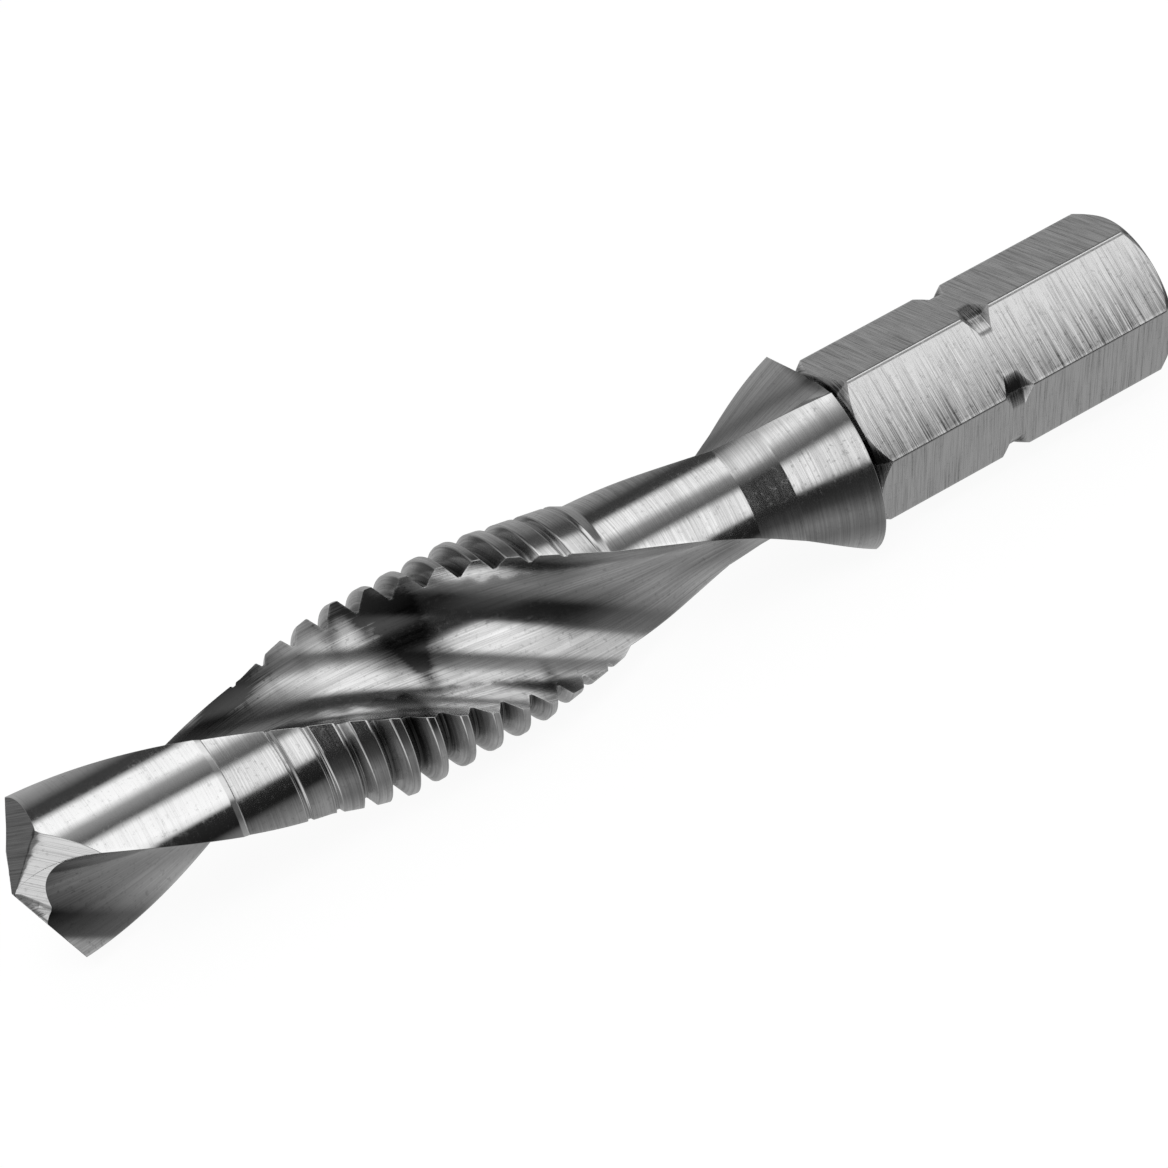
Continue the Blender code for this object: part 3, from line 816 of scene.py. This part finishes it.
# What the steel mirrors. Turn about the bit's axis, in degrees from the camera's side, and how bright the studio
# is there.
STUDIO = [
    (-180, 0.4), (-140, 0.34), (-112, 0.2), (-94, 0.04), (-76, 0.04), (-66, 0.95), (-46, 1.0), (-34, 0.3),
    (-16, 0.08), (-6, 0.95), (20, 1.0), (28, 0.8), (34, 0.02), (62, 0.01), (72, 0.13), (100, 0.28), (130, 0.3),
    (146, 0.36), (180, 0.4),
]
# The same in the gap between two soft boxes, for mirrored rays that run nearly square to the axis.
STUDIO_GAP = [
    (-180, 0.5), (-112, 0.2), (-92, 0.05), (-76, 0.15), (-50, 0.8), (-36, 0.85), (-24, 0.2), (-12, 0.03), (40, 0.02),
    (60, 0.06), (82, 0.2), (104, 0.16), (150, 0.3), (180, 0.4),
]
# The same for rays that run nearly along the axis.
STUDIO_END = [
    (-180, 0.14), (-160, 0.04), (-140, 0.04), (-110, 0.2), (-60, 0.3), (60, 0.3), (78, 0.5), (92, 0.75), (106, 0.7),
    (120, 0.26), (134, 0.16), (180, 0.16),
]
# How much of the gap and of the end a ray sees, by half its part along the axis plus a half.
GAP_SEEN = [(0.385, 0.0), (0.415, 1.0), (0.53, 1.0), (0.56, 0.0)]
END_SEEN = [(0.0, 1.0), (0.16, 1.0), (0.26, 0.8), (0.34, 0.0), (0.7, 0.0), (0.9, 0.5), (1.0, 0.5)]

FLOOR_HALF = 3.0
FLOOR_GLOW = 0.93  # how much of the floor's white comes from itself, so that it keeps a shadow
LAMP_PLACE, LAMP_TILT, LAMP_SIZE = (-0.15, -0.25, 0.5), (28, 0, -20), 0.35

# The camera in the tool frame: along the bit, towards the camera's side, and a quarter turn on from it.
CAMERA_PAST_POINT = 0.0358
CAMERA_AWAY = 0.185
CAMERA_RIGHT = (0.8325, 0.2764, 0.4801)
CAMERA_DOWN = (-0.4557, -0.151, 0.8773)
CAMERA_AHEAD = (0.315, -0.9491, 0.0002)
FOCAL_PIXELS, PHOTO_WIDTH, SENSOR_WIDTH = 5000, 1168, 36.0
CLIP_START, CLIP_END = 0.001, 20


class BIT_OT_stage(bpy.types.Operator):
    """A pale floor, a soft lamp, the studio that the steel mirrors, and the camera."""

    bl_idname = "bit.stage"
    bl_label = "Studio"

    def execute(self, context):
        scene = context.scene
        self.floor(scene)
        self.world(scene)
        self.lamp(scene)
        self.camera(scene)
        scene.view_settings.view_transform = "Standard"
        return {"FINISHED"}

    def floor(self, scene):
        """A matt sheet that also glows white for the camera and keeps a soft shadow. Mirrored rays pass it."""
        half = FLOOR_HALF
        mesh = bpy.data.meshes.new("floor")
        mesh.from_pydata([(-half, -half, 0), (half, -half, 0), (half, half, 0), (-half, half, 0)], [], [(0, 1, 2, 3)])
        floor = bpy.data.objects.new("floor", mesh)
        scene.collection.objects.link(floor)
        floor.visible_glossy = False
        paper = bpy.data.materials.new("pale_floor")
        paper.use_nodes = True
        m = Maker(paper.node_tree)
        camera, glossy, through = (
            m.node("ShaderNodeLightPath", output=f"Is {ray} Ray") for ray in ("Camera", "Glossy", "Transmission")
        )
        seen = camera + glossy + through
        matt = m.node("ShaderNodeBsdfDiffuse", None, {"Color": (*scene.bit_looks.floor, 1)})
        glow = m.node("ShaderNodeEmission", None, {"Color": (1, 1, 1, 1), "Strength": 1.0})
        mix = m.node("ShaderNodeMixShader", None, {0: seen * FLOOR_GLOW, 1: matt, 2: glow})
        m.node("ShaderNodeOutputMaterial", None, {"Surface": mix}, output=None)
        floor.data.materials.append(paper)

    def world(self, scene):
        """White for every ray but mirrored ones. Those see the studio by their turn about the bit's axis."""
        world = bpy.data.worlds.new("studio")
        world.use_nodes = True
        scene.world = world
        m = Maker(world.node_tree)
        way = m.node("ShaderNodeTexCoord", output="Generated")
        parts = m.node("ShaderNodeSeparateXYZ", None, {0: way}, output=None)
        x, y, z = (Sum(m, socket) for socket in parts.outputs)
        around = m.node("ShaderNodeMath", {"operation": "ARCTAN2"}, {0: z, 1: y})
        # As a share of a full turn from the side away from the camera. The whole turns keep it over zero.
        turns = (around - (scene.bit_sizes.lying_turn - np.pi)) * (1 / FULL_TURN) + 2.0
        share = m.node("ShaderNodeMath", {"operation": "FRACT"}, {0: turns})

        def seen(table):
            return m.ramp(share, [(0.5 + degrees / 360, level) for degrees, level in table])

        along = x * 0.5 + 0.5
        mirrored = m.mixed(m.ramp(along, GAP_SEEN), seen(STUDIO), seen(STUDIO_GAP))
        mirrored = m.mixed(m.ramp(along, END_SEEN), mirrored, seen(STUDIO_END))
        glossy = m.node("ShaderNodeLightPath", output="Is Glossy Ray")
        colour = m.mixed(glossy, (1, 1, 1, 1), mirrored)
        sky = m.node("ShaderNodeBackground", None, {"Color": colour, "Strength": 1.0})
        m.node("ShaderNodeOutputWorld", None, {"Surface": sky}, output=None)

    def lamp(self, scene):
        """One large soft lamp over the bit, which mirrored rays don't see."""
        lamp = bpy.data.lights.new("soft_lamp", "AREA")
        lamp.energy, lamp.size, lamp.shape = scene.bit_looks.lamp_power, LAMP_SIZE, "DISK"
        holder = bpy.data.objects.new("soft_lamp", lamp)
        holder.location = LAMP_PLACE
        holder.rotation_euler = np.radians(LAMP_TILT)
        holder.visible_glossy = False
        scene.collection.objects.link(holder)

    def camera(self, scene):
        """A long lens over the point, set by its place and three square directions in the tool frame. Its lens is
        the focal length in pixels of the photograph, over the photograph's width, times the sensor's."""
        s = scene.bit_sizes
        middle = (LOW + HIGH) / 2
        c, d = np.cos(s.lying_turn), np.sin(s.lying_turn)
        basis = np.array([[1, 0, 0], [0, c, d], [0, -d, c]])
        right, down, ahead = (np.array(way) @ basis for way in (CAMERA_RIGHT, CAMERA_DOWN, CAMERA_AHEAD))
        ahead /= np.linalg.norm(ahead)
        right -= ahead * (right @ ahead)
        right /= np.linalg.norm(right)
        up = np.cross(right, ahead)
        up *= np.sign(-up @ down)
        spot = np.array([-CAMERA_PAST_POINT - s.overall / 2, 0, 0]) + np.array(middle) + CAMERA_AWAY * basis[1]
        camera = bpy.data.cameras.new("camera")
        camera.sensor_width = SENSOR_WIDTH
        camera.lens = FOCAL_PIXELS / PHOTO_WIDTH * SENSOR_WIDTH
        camera.clip_start, camera.clip_end = CLIP_START, CLIP_END
        eye = bpy.data.objects.new("camera", camera)
        turn = np.eye(4)
        turn[:3, 0], turn[:3, 1], turn[:3, 2], turn[:3, 3] = right, up, -ahead, spot
        scene.collection.objects.link(eye)
        eye.matrix_world = Matrix(turn.tolist())
        scene.camera = eye


# Panel and start -------------------------------------------------------------------------------------


class BIT_PT_panel(bpy.types.Panel):
    """Sizes, looks and the pieces of the bit."""

    bl_idname = "BIT_PT_panel"
    bl_label = "Drill and tap bit"
    bl_space_type = "VIEW_3D"
    bl_region_type = "UI"
    bl_category = "Tap Bit"

    def draw(self, context):
        for group in (context.scene.bit_sizes, context.scene.bit_grain, context.scene.bit_looks):
            for name in group.__annotations__:
                self.layout.prop(group, name)
        for name in ("bit.drill", "bit.tap", "bit.shank", "bit.stage"):
            self.layout.operator(name)


CLASSES = (
    BitSizes,
    BitGrain,
    BitLooks,
    BIT_OT_drill,
    BIT_OT_tap,
    BIT_OT_shank,
    BIT_OT_stage,
    BIT_PT_panel,
)


def register():
    for each in CLASSES:
        bpy.utils.register_class(each)
    bpy.types.Scene.bit_sizes = PointerProperty(type=BitSizes)
    bpy.types.Scene.bit_grain = PointerProperty(type=BitGrain)
    bpy.types.Scene.bit_looks = PointerProperty(type=BitLooks)


def unregister():
    del bpy.types.Scene.bit_looks, bpy.types.Scene.bit_grain, bpy.types.Scene.bit_sizes
    for each in reversed(CLASSES):
        bpy.utils.unregister_class(each)


def main():
    register()
    bpy.ops.bit.drill()
    bpy.ops.bit.tap()
    bpy.ops.bit.shank()
    bpy.ops.bit.stage()


if __name__ == "__main__":
    main()
